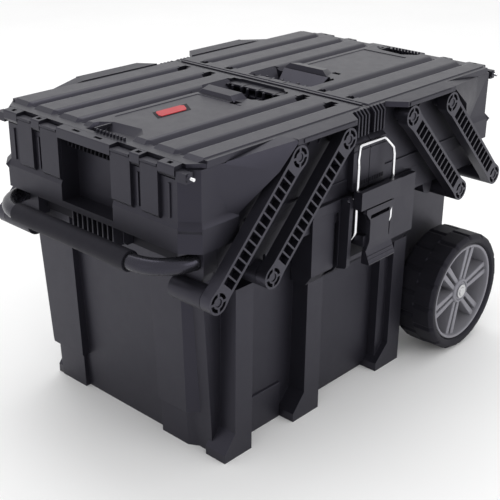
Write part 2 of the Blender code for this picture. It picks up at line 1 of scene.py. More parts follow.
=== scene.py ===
"""Looks for the rolling cantilever tool box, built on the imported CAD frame.

X runs along the length (-X is the pull handle end), -Y is the front, +Z is up.
All sizes are in metres.
"""
import math

import bmesh
import bpy
from mathutils import Matrix, Vector


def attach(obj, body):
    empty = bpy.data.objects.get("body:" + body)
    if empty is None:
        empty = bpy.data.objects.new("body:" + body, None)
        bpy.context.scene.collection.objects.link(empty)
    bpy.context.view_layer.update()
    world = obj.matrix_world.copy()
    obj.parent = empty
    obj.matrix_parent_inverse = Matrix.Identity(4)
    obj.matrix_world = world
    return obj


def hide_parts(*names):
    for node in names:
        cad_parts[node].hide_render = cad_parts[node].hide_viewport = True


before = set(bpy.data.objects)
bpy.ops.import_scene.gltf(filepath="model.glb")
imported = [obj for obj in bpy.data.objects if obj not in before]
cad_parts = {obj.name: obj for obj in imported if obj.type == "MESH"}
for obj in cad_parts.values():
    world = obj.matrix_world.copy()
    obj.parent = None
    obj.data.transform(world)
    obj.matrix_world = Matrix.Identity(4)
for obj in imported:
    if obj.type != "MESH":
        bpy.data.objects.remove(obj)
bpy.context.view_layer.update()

CORNERS = ("left_front", "left_back", "right_front", "right_back")
ENDS = (("left", 1), ("right", -1))  # shapes are drawn on the left and on the front;
SIDES = (("front", 1), ("back", -1))  # -1 marks their mirror image
LID_Z = 0.4055                       # top of the lid ridges
STRIP_Z = 0.4012                     # top of the hinge strip outside the ridges
PANEL_Z = 0.3963                     # underside of the lid panel
LID_Y = 0.1717                       # half width of a lid
HINGE = (0.3024, 0.3900)             # lid hinge axis, |X| and Z
SIDE_Y = 0.1695                      # just inside the outer face of a tray side
WALL_Y = 0.1360                      # just inside the outer face of the bin wall
VALLEYS = (0.1300, 0.0815, 0.0353, -0.0852, -0.1310)    # grooves between the ridges, Y
PADS = ((0.0480, 0.0802), (0.0968, 0.1247))        # tray columns at the hinge, |Y|
KNUCKLES = ((0.0806, 0.0964), (0.1251, 0.1515))    # lid knuckles between them
LEVER_FACE = (-0.2000, -0.1940)      # front and rear of the lever face, Y
WHEEL = (0.2130, 0.0889)             # wheel centre, X and Z
WHEEL_R = 0.0889
TYRE_Y = (-0.2100, -0.1465)
LUGS = 16                            # tread blocks round a tyre
SPOKES = 6                           # double spokes in a rim
TINT = (0.80, 0.77, 1.0, 1.0)        # faint blue in the plastic's reflections


# ---------------------------------------------------------------- geometry
def link(me, name):
    ob = bpy.data.objects.new(name, me)
    bpy.context.scene.collection.objects.link(ob)
    return ob


def clean(me):
    """Merges stray doubles and turns every face outward."""
    bm = bmesh.new()
    bm.from_mesh(me)
    bmesh.ops.remove_doubles(bm, verts=bm.verts, dist=2e-6)
    bmesh.ops.dissolve_degenerate(bm, edges=bm.edges, dist=2e-6)
    bmesh.ops.recalc_face_normals(bm, faces=bm.faces)
    bm.to_mesh(me)
    bm.free()


def solid(verts, faces):
    me = bpy.data.meshes.new("part")
    me.from_pydata([tuple(v) for v in verts], [], faces)
    clean(me)
    return link(me, "part")


def place(axis, p, t):
    """Point p of a section, set at t along the axis."""
    return {"x": (t, p[0], p[1]), "y": (p[0], t, p[1]), "z": (p[0], p[1], t)}[axis]


def prism(axis, pts, a, b):
    """Solid with one section, drawn from a to b along the axis."""
    n = len(pts)
    verts = [place(axis, p, t) for t in (a, b) for p in pts]
    faces = [tuple(range(n)), tuple(range(n, 2 * n))]
    faces += [(i, (i + 1) % n, n + (i + 1) % n, n + i) for i in range(n)]
    return solid(verts, faces)


def box(x0, x1, y0, y1, z0, z1):
    return prism("z", [(x0, y0), (x1, y0), (x1, y1), (x0, y1)], z0, z1)


def cyl(axis, c, r, a, b, n):
    pts = [(c[0] + r * math.cos(2 * math.pi * i / n),
            c[1] + r * math.sin(2 * math.pi * i / n)) for i in range(n)]
    return prism(axis, pts, a, b)


def hull(pts):
    """Smallest convex solid round the points."""
    bm = bmesh.new()
    for p in pts:
        bm.verts.new(p)
    bmesh.ops.convex_hull(bm, input=bm.verts)
    me = bpy.data.meshes.new("part")
    bm.to_mesh(me)
    bm.free()
    clean(me)
    return link(me, "part")


def combine(op, a, others):
    """Boolean of a with each of the others, which are used up."""
    for b in others:
        m = a.modifiers.new("b", "BOOLEAN")
        m.operation, m.solver, m.object = op, "EXACT", b
        bpy.context.view_layer.update()
        got = bpy.data.meshes.new_from_object(
            a.evaluated_get(bpy.context.evaluated_depsgraph_get()))
        a.modifiers.clear()
        a.data = got
        clean(a.data)
        bpy.data.objects.remove(b)
    return a


def add(a, *others):
    return combine("UNION", a, others)


def cut(a, *others):
    return combine("DIFFERENCE", a, others)


def together(obs):
    """Several closed solids as one object, side by side."""
    bm = bmesh.new()
    for o in obs:
        bm.from_mesh(o.data)
        bpy.data.objects.remove(o)
    me = bpy.data.meshes.new("part")
    bm.to_mesh(me)
    bm.free()
    return link(me, "part")


def mirrored(ob, sx, sy):
    """Copy with the signs of X and Y changed."""
    me = ob.data.copy()
    for v in me.vertices:
        v.co.x *= sx
        v.co.y *= sy
    clean(me)
    return link(me, "part")


def on_side(ob, k):
    """The piece drawn on the front, or its mirror image in its place at the back."""
    if k == 1:
        return ob
    back = mirrored(ob, 1, -1)
    bpy.data.objects.remove(ob)
    return back


def both_sides(drawn):
    """Pieces drawn on the front, with their mirror images at the back."""
    obs = []
    for o in drawn:
        obs += [mirrored(o, 1, -1), o]
    return obs


def span(a, b, k):
    """Two limits times k, smaller one first."""
    return sorted((k * a, k * b))


def lathe(profile, n, bump=None):
    """Ring about the wheel axis; profile runs round the closed section as (r, y)."""
    verts, faces, m = [], [], len(profile)
    for i in range(n):
        a = 2 * math.pi * i / n
        for k, (r, y) in enumerate(profile):
            q = bump(i, k, r) if bump else r
            verts.append((WHEEL[0] + q * math.cos(a), y, WHEEL[1] + q * math.sin(a)))
    for i in range(n):
        j = (i + 1) % n
        faces += [(i * m + k, i * m + (k + 1) % m, j * m + (k + 1) % m, j * m + k)
                  for k in range(m)]
    return solid(verts, faces)


# ---------------------------------------------------------------- materials
def nodes_of(name):
    """New material, its node tree and its main shader."""
    m = bpy.data.materials.new(name)
    m.use_nodes = True
    nt = m.node_tree
    return m, nt, nt.nodes["Principled BSDF"]


def noise(nt, co, scale, detail=3.0, rough=0.55):
    n = nt.nodes.new("ShaderNodeTexNoise")
    n.inputs["Scale"].default_value = scale
    n.inputs["Detail"].default_value = detail
    n.inputs["Roughness"].default_value = rough
    nt.links.new(co, n.inputs["Vector"])
    return n.outputs["Fac"]


def ramp(nt, fac, stops):
    """Colour ramp from (position, grey or colour) stops."""
    r = nt.nodes.new("ShaderNodeValToRGB")
    e = r.color_ramp.elements
    while len(e) < len(stops):
        e.new(0.5)
    for k, (pos, col) in enumerate(stops):
        e[k].position = pos
        e[k].color = (*col, 1) if isinstance(col, tuple) else (col, col, col, 1)
    nt.links.new(fac, r.inputs["Fac"])
    return r.outputs["Color"]


def scaled(nt, value, gain, base):
    """Math node for base + gain * value, where base is a number or a socket."""
    n = nt.nodes.new("ShaderNodeMath")
    n.operation = "MULTIPLY_ADD"
    nt.links.new(value, n.inputs[0])
    n.inputs[1].default_value = gain
    if isinstance(base, float):
        n.inputs[2].default_value = base
    else:
        nt.links.new(base, n.inputs[2])
    return n.outputs[0]


def bumped(nt, p, layers):
    """Stacks bump layers given as (height, strength, distance)."""
    last = None
    for h, strength, dist in layers:
        b = nt.nodes.new("ShaderNodeBump")
        b.inputs["Strength"].default_value = strength
        b.inputs["Distance"].default_value = dist
        nt.links.new(h, b.inputs["Height"])
        if last is not None:
            nt.links.new(last, b.inputs["Normal"])
        last = b.outputs["Normal"]
    nt.links.new(last, p.inputs["Normal"])


def moulded(name, col, rough, grain=1500.0, depth=0.00010, tint=0.12, spec=0.5):
    """Textured moulded plastic: fine spark grain, slow tone drift, faint scuffs."""
    m, nt, p = nodes_of(name)
    co = nt.nodes.new("ShaderNodeTexCoord").outputs["Object"]
    drift = noise(nt, co, 9.0, 4.0)
    fine = noise(nt, co, grain, 2.0, 0.6)
    lo = tuple(c * (1 - tint) for c in col)
    hi = tuple(c * (1 + tint) for c in col)
    nt.links.new(ramp(nt, drift, [(0.35, lo), (0.65, hi)]), p.inputs["Base Color"])
    scuff = noise(nt, co, 60.0, 6.0, 0.7)
    r = scaled(nt, fine, 0.10, scaled(nt, scuff, 0.16, rough - 0.08))
    nt.links.new(r, p.inputs["Roughness"])
    p.inputs["Specular IOR Level"].default_value = spec
    p.inputs["Specular Tint"].default_value = TINT
    bumped(nt, p, [(drift, 0.10, 0.002), (fine, 0.55, depth)])
    return m


def metal(name, col, rough, streak=None):
    """Bare metal with slightly uneven gloss, drawn out along streak if given."""
    m, nt, p = nodes_of(name)
    co = nt.nodes.new("ShaderNodeTexCoord").outputs["Object"]
    p.inputs["Metallic"].default_value = 1.0
    if streak:
        mp = nt.nodes.new("ShaderNodeMapping")
        mp.inputs["Scale"].default_value = streak
        nt.links.new(co, mp.inputs["Vector"])
        co = mp.outputs["Vector"]
    n = noise(nt, co, 900.0, 3.0)
    nt.links.new(ramp(nt, n, [(0.3, tuple(c * 0.86 for c in col)), (0.7, col)]),
                 p.inputs["Base Color"])
    nt.links.new(scaled(nt, n, 0.12, rough), p.inputs["Roughness"])
    bumped(nt, p, [(n, 0.20, 0.00004)])
    return m


BODY = moulded("box_plastic", (0.0072, 0.0070, 0.0092), 0.40)
LID = moulded("lid_plastic", (0.0076, 0.0074, 0.0098), 0.31, 1300.0)
ARM = moulded("arm_plastic", (0.0085, 0.0083, 0.0106), 0.33, 1900.0, 0.00006, spec=0.62)
LATCH = moulded("latch_plastic", (0.0064, 0.0062, 0.0082), 0.36, 1900.0, 0.00006)
# near-black matt plastic: painted shade on the recess ribs, catch notches, beam wall and lever
# well, and the bed under the red plate
PAINTED_SHADE_AND_BED = moulded("painted_shade_and_label_bed", (0.0030, 0.0029, 0.0036), 0.60, spec=0.25)
GREY = moulded("rim_plastic", (0.1900, 0.1880, 0.2050), 0.44, 1800.0, 0.00005, 0.05)
RED = moulded("plate_red", (0.4000, 0.0070, 0.0110), 0.30, 2200.0, 0.00002, 0.05, 0.3)
TUBE = moulded("tube_coat", (0.0100, 0.0100, 0.0120), 0.22, 700.0, 0.00005, 0.05)
GRIP = moulded("grip_rubber", (0.0060, 0.0058, 0.0074), 0.60, 2600.0, 0.00012, 0.08, 0.30)
CHROME = metal("bright_wire", (0.86, 0.86, 0.88), 0.06)
STEEL = metal("plain_steel", (0.56, 0.56, 0.57), 0.26, (1.0, 0.02, 1.0))


def tyre_material():
    """Matt black rubber, a little dusty in patches."""
    m, nt, p = nodes_of("tyre_rubber")
    co = nt.nodes.new("ShaderNodeTexCoord").outputs["Object"]
    broad = noise(nt, co, 22.0, 5.0)
    fine = noise(nt, co, 1400.0, 3.0)
    nt.links.new(ramp(nt, broad, [(0.3, (0.0042, 0.0041, 0.0052)),
                                  (0.7, (0.0066, 0.0065, 0.0080))]),
                 p.inputs["Base Color"])
    nt.links.new(scaled(nt, broad, 0.16, 0.52), p.inputs["Roughness"])
    p.inputs["Specular IOR Level"].default_value = 0.30
    p.inputs["Specular Tint"].default_value = TINT
    bumped(nt, p, [(broad, 0.15, 0.0015), (fine, 0.6, 0.00012)])
    return m


TYRE = tyre_material()


# ---------------------------------------------------------------- finishing
def dress(ob, mat, width, seg, angle=32, planar=True):
    """Material, rounded edges and clean shading for one piece."""
    ob.data.materials.clear()
    ob.data.materials.append(mat)
    for f in ob.data.polygons:
        f.use_smooth = True
        f.material_index = 0
    w = ob.modifiers.new("weld", "WELD")
    w.merge_threshold = 1e-5
    if planar:
        d = ob.modifiers.new("flat", "DECIMATE")
        d.decimate_type = "DISSOLVE"
        d.angle_limit = math.radians(0.6)
    if width:
        b = ob.modifiers.new("round", "BEVEL")
        b.limit_method = "ANGLE"
        b.angle_limit = math.radians(angle)
        b.width = width
        b.segments = seg
        b.use_clamp_overlap = True
    n = ob.modifiers.new("normals", "WEIGHTED_NORMAL")
    n.keep_sharp = False
    n.weight = 60


def piece(ob, name, body, mat, width, seg, slot=None, stands_for=None, **kw):
    """Finishes a shape, names it, and puts it on its body."""
    ob.name = name
    ob.data.name = name
    dress(ob, mat, width, seg, **kw)
    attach(ob, body)
    if stands_for:
        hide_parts(*stands_for)


# ---------------------------------------------------------------- the lids
def valley(y):
    """Cutters for one valley between two rounded ridges, open at its outer end."""
    w, d = 0.0120, 0.0060                # half width and depth
    prof = [(-w, 0.0015), (-w, 0.0), (-0.82 * w, -0.04 * d), (-0.64 * w, -0.15 * d),
            (-0.50 * w, -0.34 * d), (-0.24 * w, -d), (0.10 * w, -d), (0.40 * w, -0.36 * d),
            (0.58 * w, -0.15 * d), (0.80 * w, -0.04 * d), (w, 0.0), (w, 0.0015)]
    sect = [(y + a, LID_Z + b) for a, b in prof]
    mouth = hull([(x, y + v, z) for x, v, z in
                  ((-0.2880, -0.0165, 0.4070), (-0.2880, 0.0165, 0.4070),
                   (-0.2640, -0.0045, 0.4070), (-0.2640, 0.0045, 0.4070),
                   (-0.2880, -0.0095, STRIP_Z), (-0.2880, 0.0095, STRIP_Z),
                   (-0.2700, -0.0012, STRIP_Z), (-0.2700, 0.0012, STRIP_Z))])
    pocket = box(-0.0300, -0.0135, y - 0.0062, y + 0.0062, 0.3975, 0.42)
    return [prism("x", sect, -0.0240, -0.2780), mouth, pocket]


def lid():
    """Detailed left lid; the right one is its mirror image."""
    b = prism("y", [(-0.0006, PANEL_Z), (-0.0006, 0.4040), (-0.0086, 0.4040),
                    (-0.0092, LID_Z), (-0.2770, LID_Z), (-0.2835, STRIP_Z),
                    (-0.2955, STRIP_Z), (-0.2955, PANEL_Z)], -LID_Y, LID_Y)
    for s in (1, -1):
        b = cut(b, prism("z", [(-0.31, s * 0.1800), (-0.31, s * 0.1530), (-0.2955, s * 0.1560),
                               (-0.2800, s * 0.1710), (-0.2800, s * 0.1800)], 0.38, 0.42))
        # low border along the hoods
        b = cut(b, prism("x", [(s * 0.1640, LID_Z + 0.001), (s * 0.1652, 0.4042),
                               (s * 0.1730, 0.4042), (s * 0.1730, LID_Z + 0.001)],
                         -0.0060, -0.2990))
        corner = [(-0.2790, s * 0.1660), (-0.2900, s * 0.1560), (-0.2990, s * 0.1480),
                  (-0.2990, s * 0.1760), (-0.2790, s * 0.1760)]
        b = cut(b, hull([(x, y, z) for z in (0.407, STRIP_Z) for x, y in corner]))
    # strip over the hinge: a flap above the end recess, and the knuckles
    b = add(b, prism("y", [(-0.2940, 0.3955), (-0.2940, STRIP_Z), (-0.3074, 0.4000),
                           (-0.3082, 0.3990), (-0.3082, 0.3880), (-0.3066, 0.3872),
                           (-0.3052, 0.3880), (-0.3052, 0.3955)], -0.0476, 0.0476))
    for y0, y1 in [(-q, -p) for p, q in KNUCKLES] + list(KNUCKLES):
        b = add(b, prism("y", [(-0.2940, PANEL_Z), (-0.2940, STRIP_Z), (-0.3070, 0.4000),
                               (-0.3082, 0.3985), (-0.3082, 0.3900), (-0.3060, 0.3862),
                               (-0.3024, 0.3848), (-0.2972, 0.3880), (-0.2940, 0.3940)],
                         y0, y1))
        m = (y0 + y1) / 2
        b = cut(b, box(-0.3040, -0.2985, m - 0.0032, m + 0.0032, 0.3926, 0.42))
        b = cut(b, cyl("y", (-HINGE[0], HINGE[1]), 0.0024, y0 - 0.01, y1 + 0.01, 16))
    # box of the carry pocket
    b = add(b, box(-0.1090, -0.0050, -0.0620, 0.0460, 0.3862, 0.3990))
    # underside panels between ribs
    for i in range(4):
        for j in range(5):
            x0, y0 = -0.2440 + 0.0340 * i, -0.1625 + 0.0658 * j
            if i == 3 and 0 < j < 4:
                continue
            b = cut(b, box(x0, x0 + 0.0315, y0, y0 + 0.0616, 0.39, 0.3985))
    for y in VALLEYS:
        b = cut(b, *valley(y))
    # centre panel, a little lower than the ridges
    b = cut(b, hull([(x, y, z) for z, g in ((0.4047, 0.0), (0.4070, 0.0023))
                     for x, y in ((-0.2440, -0.0575 - g), (-0.2440, 0.0180 + g),
                                  (-0.1060 + g, 0.0180 + g), (-0.1060 + g, -0.0575 - g))]))
    # finger recess at the outer end, with a deep corner hole and a bar beside it
    top = [(-0.2890, 0.0190), (-0.2700, 0.0145), (-0.2590, 0.0010), (-0.2545, -0.0420),
           (-0.2680, -0.0600), (-0.2890, -0.0600)]
    low = [(-0.2890, 0.0165), (-0.2760, 0.0130), (-0.2680, -0.0010), (-0.2650, -0.0390),
           (-0.2740, -0.0540), (-0.2890, -0.0560)]
    b = cut(b, hull([(x, y, 0.4070) for x, y in top] + [(x, y, LID_Z) for x, y in top]
                    + [(x, y, 0.3972) for x, y in low]))
    b = cut(b, prism("z", [(-0.2860, 0.0040), (-0.2860, 0.0150), (-0.2730, 0.0125),
                           (-0.2665, 0.0040)], 0.3950, 0.42))
    b = add(b, hull([(-0.2870, 0.0012, 0.3970), (-0.2870, 0.0036, 0.3970),
                     (-0.2640, 0.0012, 0.4010), (-0.2640, 0.0036, 0.4010),
                     (-0.2870, 0.0012, 0.4046), (-0.2870, 0.0036, 0.4046),
                     (-0.2620, 0.0012, 0.4048), (-0.2620, 0.0036, 0.4048)]))
    # slots in the strip above the end recess
    for y in (0.0190, -0.0200):
        b = cut(b, box(-0.3030, -0.2990, y - 0.0062, y + 0.0062, 0.3975, 0.42))
    # carry pocket beside the seam
    b = cut(b, prism("z", [(-0.0780, -0.0490), (-0.0700, -0.0575), (-0.0220, -0.0575),
                           (-0.0110, -0.0440), (-0.0110, 0.0290), (-0.0220, 0.0410),
                           (-0.0700, 0.0410), (-0.0780, 0.0330)], 0.3880, 0.42))
    for s, y in ((1, 0.0410), (-1, -0.0575)):
        b = cut(b, hull([(-0.0760, y - s * 0.0010, 0.4070), (-0.0180, y - s * 0.0010, 0.4070),
                         (-0.0700, y + s * 0.0060, 0.4070), (-0.0240, y + s * 0.0060, 0.4070),
                         (-0.0760, y - s * 0.0010, 0.3980), (-0.0180, y - s * 0.0010, 0.3980)]))
    # hump on the outer side of the pocket, with a slit at each end
    for y in (0.0320, -0.0430):
        b = cut(b, hull([(-0.1060, y - 0.0050, 0.42), (-0.1060, y + 0.0050, 0.42),
                         (-0.0960, y - 0.0075, 0.42), (-0.0960, y + 0.0075, 0.42),
                         (-0.1060, y - 0.0050, 0.4015), (-0.1060, y + 0.0050, 0.4015),
                         (-0.0960, y - 0.0075, 0.4015), (-0.0960, y + 0.0075, 0.4015)]))
    b = add(b, hull([(-0.0990, 0.0270, 0.4040), (-0.0990, -0.0380, 0.4040),
                     (-0.0782, 0.0330, 0.4040), (-0.0782, -0.0440, 0.4040),
                     (-0.0962, 0.0190, 0.4102), (-0.0962, -0.0300, 0.4102),
                     (-0.0800, 0.0235, 0.4122), (-0.0800, -0.0345, 0.4122)]))
    # cross grooves of the seam strip
    b = cut(b, box(-0.0072, -0.0056, -0.1650, 0.1650, 0.4020, 0.42))
    return b


left = lid()
right = mirrored(left, -1, 1)
for end, ob in (("left", left), ("right", right)):
    piece(ob, end + "_lid_shell", end + "_lid_body", LID, 0.0009, 3,
          slot="lid_plastic", stands_for=[end + "_lid"], angle=24)

for end, k in ENDS:
    def bx(x0, x1, *rest):
        """Box drawn on the left lid, set on this one."""
        return box(*span(x0, x1, k), *rest)
    teeth = [bx(-0.2895, -0.2868, -0.0520 + 0.0058 * i, -0.0492 + 0.0058 * i, 0.3970, 0.4050)
             for i in range(9)]
    piece(together(teeth), end + "_recess_teeth", end + "_lid_body", LID, 0.0004, 1)
    bars = [bx(-0.0290, -0.0112, -0.0560, 0.0400, 0.3990, 0.4022),
            bx(-0.0340, -0.0112, -0.0520, 0.0370, 0.3900, 0.3932)]
    bars += [bx(-0.0360, -0.0325, y - 0.0016, y + 0.0016, 0.3882, 0.4022)
             for y in (-0.0300, -0.0020, 0.0250)]
    bars += [bx(-0.0340, -0.0112, y - 0.0014, y + 0.0014, 0.3882, 0.4022)
             for y in (-0.0450, -0.0160, 0.0110, 0.0360)]
    piece(together(bars), end + "_pocket_bars", end + "_lid_body", LID, 0.0005, 2)
    # sloped walls of the carry pocket, below the hump and at its back end
    under_hump = ((0.0778, -0.0470, 0.4050), (0.0778, 0.0320, 0.4050),
                  (0.0778, -0.0470, 0.3885), (0.0778, 0.0320, 0.3885),
                  (0.0600, -0.0420, 0.3900), (0.0600, 0.0270, 0.3900))
    back_end = ((0.0700, 0.0408, 0.4050), (0.0240, 0.0408, 0.4050),
                (0.0700, 0.0408, 0.3885), (0.0240, 0.0408, 0.3885),
                (0.0640, 0.0290, 0.3900), (0.0320, 0.0290, 0.3900))
    scoop = [hull([(-k * x, y, z) for x, y, z in pts]) for pts in (under_hump, back_end)]
    piece(together(scoop), end + "_pocket_slopes", end + "_lid_body", LID, 0.0004, 2)
    ticks = [bx(-0.0074, -0.0054, y - 0.0014, y + 0.0014, 0.4015, 0.4052)
             for y in (-0.1450, -0.1080, -0.0660, 0.0000, 0.0560, 0.1080, 0.1450)]
    piece(together(ticks), end + "_seam_ticks", end + "_lid_body", LID, 0.0003, 1)
piece(box(0.0009, 0.0052, -0.1600, 0.1600, 0.4030, 0.4056), "seam_bar", "right_lid_body",
      LID, 0.0006, 2)
# plain plate on the centre panel
piece(prism("z", [(-0.2130, -0.0235), (-0.1590, -0.0245), (-0.1450, -0.0020),
                  (-0.2010, -0.0010)], 0.4044, 0.40495), "plate_bed", "left_lid_body", PAINTED_SHADE_AND_BED,
      0.0001, 1)
piece(prism("z", [(-0.2040, -0.0215), (-0.1650, -0.0222), (-0.1600, -0.0170),
                  (-0.1545, -0.0070), (-0.1580, -0.0035), (-0.1960, -0.0028),
                  (-0.2000, -0.0060), (-0.2050, -0.0170)],
            0.40480, 0.40580), "plain_plate", "left_lid_body", RED, 0.0003, 2)


# ---------------------------------------------------------------- tray details
def tray_detail():
    """Raised details of the left tray."""
    out = []
    # upright fins either side of the seam, above the catch
    for x in (0.0062, 0.0128, 0.0194, 0.0260):
        out.append(prism("x", [(-SIDE_Y, 0.3712), (-0.1790, 0.3730), (-0.1790, 0.3985),
                               (-0.1730, 0.4046), (-SIDE_Y, 0.4046)], -x - 0.0014, -x + 0.0014))
    # step line across the catch
    out.append(box(-0.0330, -0.0008, -0.1796, -0.1780, 0.3540, 0.3556))
    # gussets of the arm recess, under the hood
    for x in (0.1120, 0.0930):
        out.append(prism("x", [(-SIDE_Y, 0.3975), (-0.1800, 0.3975), (-SIDE_Y, 0.3780)],
                         -x - 0.0012, -x + 0.0012))
    out.append(box(-0.2200, -0.0360, -0.1722, -SIDE_Y, 0.3180, 0.3205))
    # hood line: a raised strip along the lower edge of the roof
    out.append(box(-0.1500, -0.0560, -0.1966, -0.1950, 0.3990, 0.4040))
    # ledge where the band turns the corner
    out.append(hull([(-0.3090, -0.1548, 0.3290), (-0.2920, -0.1758, 0.3290),
                     (-0.3064, -0.1527, 0.3240), (-0.2894, -0.1737, 0.3240),
                     (-0.3030, -0.1503, 0.3365), (-0.2870, -0.1703, 0.3365),
                     (-0.2980, -0.1455, 0.3240), (-0.2820, -0.1655, 0.3240)]))
    obs = both_sides(out)
    # ridge rows between the columns of the end wall
    for s in (1, -1):
        for y in (0.0886, 0.1385):
            obs.append(box(-0.3048, -0.3020, *span(y - 0.0014, y + 0.0014, s),
                           0.3380, 0.3780))
    # flat pads on top of the hinge columns
    for p, q in PADS:
        for s in (1, -1):
            obs.append(box(-0.3088, -0.2967, *span(p + 0.0006, q - 0.0006, s),
                           0.3940, 0.3968))
    return together(obs)


detail = tray_detail()
right = mirrored(detail, -1, 1)
piece(detail, "left_tray_detail", "left_tray_body", BODY, 0.0004, 2)
piece(right, "right_tray_detail", "right_tray_body", BODY, 0.0004, 2)

for end, k in ENDS:
    # ribs hanging from the roof of the end recess, in near-black plastic as painted shade
    section = [(-k * x, z) for x, z in ((0.2960, 0.3868), (0.2990, 0.3800), (0.2990, 0.3775),
                                        (0.2900, 0.3720), (0.2830, 0.3868))]
    roof = [prism("y", section, y - 0.0009, y + 0.0009)
            for y in (0.0070 * i - 0.0385 for i in range(12))]
    piece(together(roof), end + "_recess_ribs", end + "_tray_body", PAINTED_SHADE_AND_BED, 0.0002, 1)
    # notches in the lower edge of the catch, drawn as near-black boxes: painted shade where the
    # notches are
    notches = [box(x - 0.0018, x + 0.0018, -0.1789, -0.1775, 0.3098, 0.3152)
               for x in (-k * (0.0032 + 0.0052 * i) for i in range(6))]
    piece(together(both_sides(notches)), end + "_catch_notches", end + "_tray_body", PAINTED_SHADE_AND_BED,
          0.0002, 1)
    # boss round the visible end of the hinge rod
    tips = both_sides([cyl("y", (-k * HINGE[0], HINGE[1]), 0.0045, -0.1690, -0.1672, 24)])
    piece(together(tips), end + "_rod_boss", end + "_tray_body", BODY, 0.0004, 2)
    # divider ribs on the tray walls, seen when a lid is open
    ribs = []
    for i in range(5):
        x = -k * (0.0500 + 0.0450 * i)
        for s in (1, -1):
            for dx in (-0.0026, 0.0026):
                ribs.append(box(x + dx - 0.0008, x + dx + 0.0008,
                                *span(0.1657, 0.1625, s), 0.3042, 0.3780))
    piece(together(ribs), end + "_tray_ribs", end + "_tray_body", BODY, 0.0003, 1)


# ---------------------------------------------------------------- box details
def box_detail():
    """Raised details of the bin, its rim and the latch bases."""
    out = [
        # low step across the wall between the first two ribs
        hull([(-0.1965, -WALL_Y, 0.0), (-0.1170, -WALL_Y, 0.0), (-0.1965, -0.1402, 0.0),
              (-0.1170, -0.1402, 0.0), (-0.1965, -0.1402, 0.0520), (-0.1170, -0.1402, 0.0520),
              (-0.1965, -0.1370, 0.0535), (-0.1170, -0.1370, 0.0535)]),
        # strip in the slot of the latch base
        box(-0.0598, -0.0538, -0.1702, -0.1560, 0.2062, 0.2808),
        # small brackets below the rim beside the inner boss
        prism("y", [(-0.1760, 0.2660), (-0.1500, 0.2660), (-0.1560, 0.2480),
                    (-0.1700, 0.2420)], -0.1620, -0.1380),
        prism("y", [(0.1760, 0.2660), (0.1500, 0.2660), (0.1560, 0.2480),
                    (0.1700, 0.2420)], -0.1620, -0.1310),
        # top rail of the latch base
        box(-0.1009, -0.0500, -0.1742, -0.1720, 0.2850, 0.2978),
        # raised frame of the wall between the ribs
        box(-0.0640, 0.0725, -0.1412, -WALL_Y, 0.0100, 0.1930),
    ]
    return together(both_sides(out))


piece(box_detail(), "box_detail", "root", BODY, 0.0006, 2)
for end, k in ENDS:
    # upright fins below the tray end, in front of a near-black sheet that paints the shade
    # behind them
    fins = [box(*span(0.3000, 0.2712, -k), y - 0.0012, y + 0.0012, 0.2700, 0.2988)
            for y in (0.0092 * i - 0.0368 for i in range(9))]
    piece(together(fins), end + "_beam_fins", "root", BODY, 0.0004, 1)
    # near-black sheet behind the fins: painted shade
    piece(box(*span(0.2712, 0.2698, -k), -0.1240, 0.1240, 0.2672, 0.2990),
          end + "_beam_shade", "root", PAINTED_SHADE_AND_BED, 0.0001, 1)
# near-black bed behind each lever: painted shade in the gaps beside it
piece(together(both_sides([box(-0.0408, 0.0408, -0.1737, -0.1729, 0.2112, 0.2960)])),
      "latch_well", "root", PAINTED_SHADE_AND_BED, 0.0001, 1)


# ---------------------------------------------------------------- the levers
def lever():
    """Latch lever: a waisted face with a grip lip, a slot, and two cheeks behind."""
    half = [(0.0285, 0.2842), (0.0285, 0.2790), (0.0270, 0.2765), (0.0208, 0.2690),
            (0.0200, 0.2650), (0.0200, 0.2420), (0.0210, 0.2380), (0.0268, 0.2280),
            (0.0275, 0.2106)]
    b = prism("y", half + [(-x, z) for x, z in reversed(half)], *LEVER_FACE)
    b = add(b, hull([(sx * 0.0275, y, z) for sx in (-1, 1) for y, z in
                     ((LEVER_FACE[0], 0.2290), (-0.2070, 0.2125), (-0.2062, 0.2106),
                      (-0.1995, 0.2106), (-0.1945, 0.2290))]))
    slot = [(0.0188, 0.2712), (0.0198, 0.2724), (0.0198, 0.2752), (0.0188, 0.2764)]
    b = cut(b, prism("y", slot + [(-x, z - 0.0010) for x, z in reversed(slot)], -0.21, -0.18))
    for sx in (-1, 1):
        b = add(b, prism("x", [(-0.1950, 0.2470), (-0.1950, 0.2330), (-0.1755, 0.2330),
                               (-0.1755, 0.2470)], *span(0.0170, 0.0268, sx)))
        b = add(b, prism("x", [(-0.1920, 0.3020), (-0.1805, 0.3020), (-0.1800, 0.2860),
                               (-0.1755, 0.2450), (-0.1960, 0.2450), (-0.1960, 0.2835),
                               (-0.1920, 0.2835)], *span(0.0165, 0.0195, sx)))
        b = add(b, box(*span(0.0170, 0.0325, sx), -0.1915, -0.1805, 0.2925, 0.3015))
    return b


for side, k in SIDES:
    piece(on_side(lever(), k), side + "_lever_shell", side + "_lever", LATCH, 0.0007, 2,
          slot="latch_plastic", stands_for=[side + "_latch_lever"], angle=28)
    ribs = []
    for z in (0.2128, 0.2172, 0.2216):
        y = LEVER_FACE[0] - (0.2300 - z) * 0.361
        ribs.append(on_side(box(-0.0262, 0.0262, y - 0.0008, y + 0.0020, z - 0.0007,
                                z + 0.0007), k))
    piece(together(ribs), side + "_lever_ribs", side + "_lever", LATCH, 0.0003, 1)


